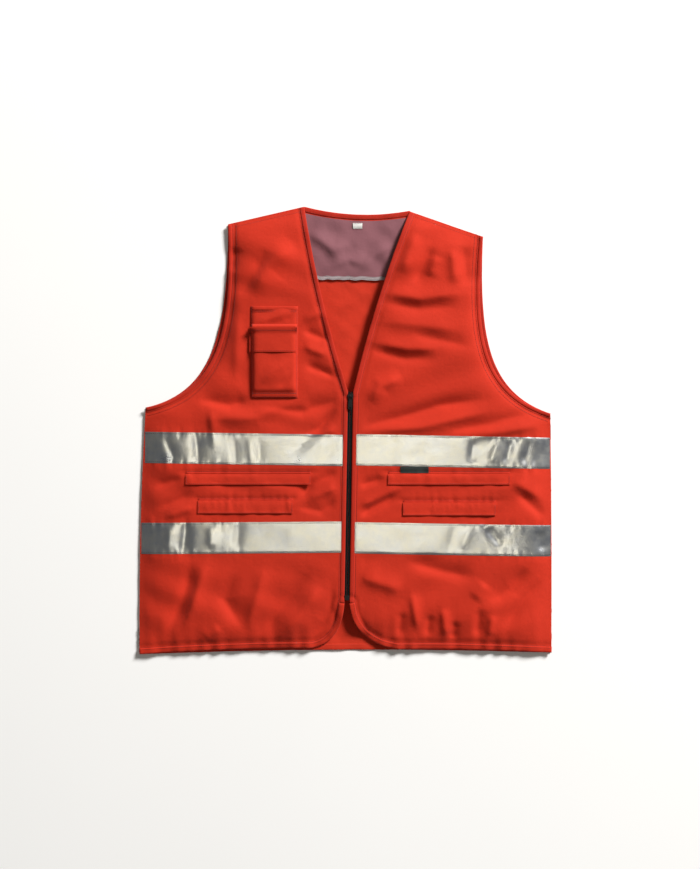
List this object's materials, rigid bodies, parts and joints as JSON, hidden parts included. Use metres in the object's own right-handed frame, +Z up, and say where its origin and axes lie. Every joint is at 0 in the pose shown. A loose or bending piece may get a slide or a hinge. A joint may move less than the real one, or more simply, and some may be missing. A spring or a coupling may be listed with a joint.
{
  "type": "high-visibility vest",
  "caption": "Sleeveless orange high-visibility vest with a V neck, zip front, reflective tapes round the body, a chest pocket with a flap and lower pockets, laid flat.",
  "frame": {"origin": "on the surface the vest lies on, under the middle of its outline", "axes": "+X towards the wearer's left, +Y up the body to the neck, +Z up through the vest from its back to its front"},
  "size_m": [0.662, 0.7172, 0.028],
  "materials": {
    "shell_cloth": "matte",
    "binding_cloth": "matte",
    "lining_cloth": "matte",
    "pocket_cloth": "matte",
    "label_cloth": "matte",
    "hook_and_loop": "matte",
    "reflective_tape": "satin",
    "black_webbing": "matte",
    "zip_tape": "matte",
    "black_nylon": "satin",
    "black_metal": "satin"
  },
  "bodies": {
    "root": {"back_panel": "shell_cloth", "back_yoke_lining": "lining_cloth", "neck_label": "label_cloth", "back_neck_binding": "binding_cloth", "back_upper_tape": "reflective_tape", "back_lower_tape": "reflective_tape", "chest_slip_pocket": "shell_cloth", "chest_pocket_bag": "shell_cloth", "chest_flap_facing": "shell_cloth", "chest_loop_pad": "hook_and_loop", "webbing_tab": "black_webbing", "back_right_armhole_binding": "binding_cloth", "right_front_panel": "shell_cloth", "right_neckline_binding": "binding_cloth", "right_armhole_binding": "binding_cloth", "right_upper_tape": "reflective_tape", "right_lower_tape": "reflective_tape", "right_upper_pocket_bag": "pocket_cloth", "right_lower_pocket_bag": "pocket_cloth", "right_shoulder_seam": "shell_cloth", "right_side_seam": "shell_cloth", "back_left_armhole_binding": "binding_cloth", "left_front_panel": "shell_cloth", "left_neckline_binding": "binding_cloth", "left_armhole_binding": "binding_cloth", "left_upper_tape": "reflective_tape", "left_lower_tape": "reflective_tape", "left_upper_pocket_bag": "pocket_cloth", "left_lower_pocket_bag": "pocket_cloth", "left_shoulder_seam": "shell_cloth", "left_side_seam": "shell_cloth"},
    "right_front_edge": {"right_front_edge": "shell_cloth", "right_front_edge_binding": "binding_cloth", "right_upper_tape_end": "reflective_tape", "right_lower_tape_end": "reflective_tape", "right_zip_tape": "zip_tape", "right_zip_coil": "black_nylon", "right_top_stop": "black_metal", "zip_retainer_box": "black_nylon"},
    "right_upper_pocket_flap": {"right_upper_pocket_flap": "shell_cloth"},
    "right_lower_pocket_flap": {"right_lower_pocket_flap": "shell_cloth"},
    "left_front_edge": {"left_front_edge": "shell_cloth", "left_front_edge_binding": "binding_cloth", "left_upper_tape_end": "reflective_tape", "left_lower_tape_end": "reflective_tape", "left_zip_tape": "zip_tape", "left_zip_coil": "black_nylon", "left_top_stop": "black_metal", "zip_insertion_pin": "black_nylon"},
    "left_upper_pocket_flap": {"left_upper_pocket_flap": "shell_cloth"},
    "left_lower_pocket_flap": {"left_lower_pocket_flap": "shell_cloth"},
    "zip_slider": {"zip_slider": "black_metal"},
    "zip_pull_tab": {"zip_pull_tab": "black_metal"},
    "chest_pocket_flap": {"chest_pocket_flap": "shell_cloth", "chest_hook_pad": "hook_and_loop"}
  },
  "joints": [
    {"name": "right_front_fold", "type": "hinge", "parent": "root", "child": "right_front_edge", "pos_m": [-0.02535, -0.06408, 0.0192], "axis": [0.0336, -0.9994, 0], "range_deg": [0, 170]},
    {"name": "left_front_fold", "type": "hinge", "parent": "root", "child": "left_front_edge", "pos_m": [0.03718, -0.06328, 0.0192], "axis": [0.0439, 0.999, 0], "range_deg": [0, 170]},
    {"name": "zip_slide", "type": "slide", "parent": "right_front_edge", "child": "zip_slider", "axis": [-0.0171, -0.9999, 0], "range_m": [0, 0.313]},
    {"name": "pull_tab_hinge", "type": "hinge", "parent": "zip_slider", "child": "zip_pull_tab", "pos_m": [0.00787, 0.0543, 0.0177], "axis": [-0.9999, 0.0171, 0], "range_deg": [0, 170]},
    {"name": "chest_flap_hinge", "type": "hinge", "parent": "root", "child": "chest_pocket_flap", "pos_m": [-0.1154, 0.1646, 0.0276], "axis": [-1, 0, 0], "range_deg": [0, 150]},
    {"name": "right_upper_flap_hinge", "type": "hinge", "parent": "root", "child": "right_upper_pocket_flap", "pos_m": [-0.1555, -0.0696, 0.0159], "axis": [-1, 0, 0], "range_deg": [0, 120]},
    {"name": "right_lower_flap_hinge", "type": "hinge", "parent": "root", "child": "right_lower_pocket_flap", "pos_m": [-0.16015, -0.1122, 0.0159], "axis": [-1, 0, 0], "range_deg": [0, 120]},
    {"name": "left_upper_flap_hinge", "type": "hinge", "parent": "root", "child": "left_upper_pocket_flap", "pos_m": [0.1656, -0.0696, 0.0159], "axis": [-1, 0, 0], "range_deg": [0, 120]},
    {"name": "left_lower_flap_hinge", "type": "hinge", "parent": "root", "child": "left_lower_pocket_flap", "pos_m": [0.1664, -0.1154, 0.0159], "axis": [-1, 0, 0], "range_deg": [0, 120]}
  ]
}
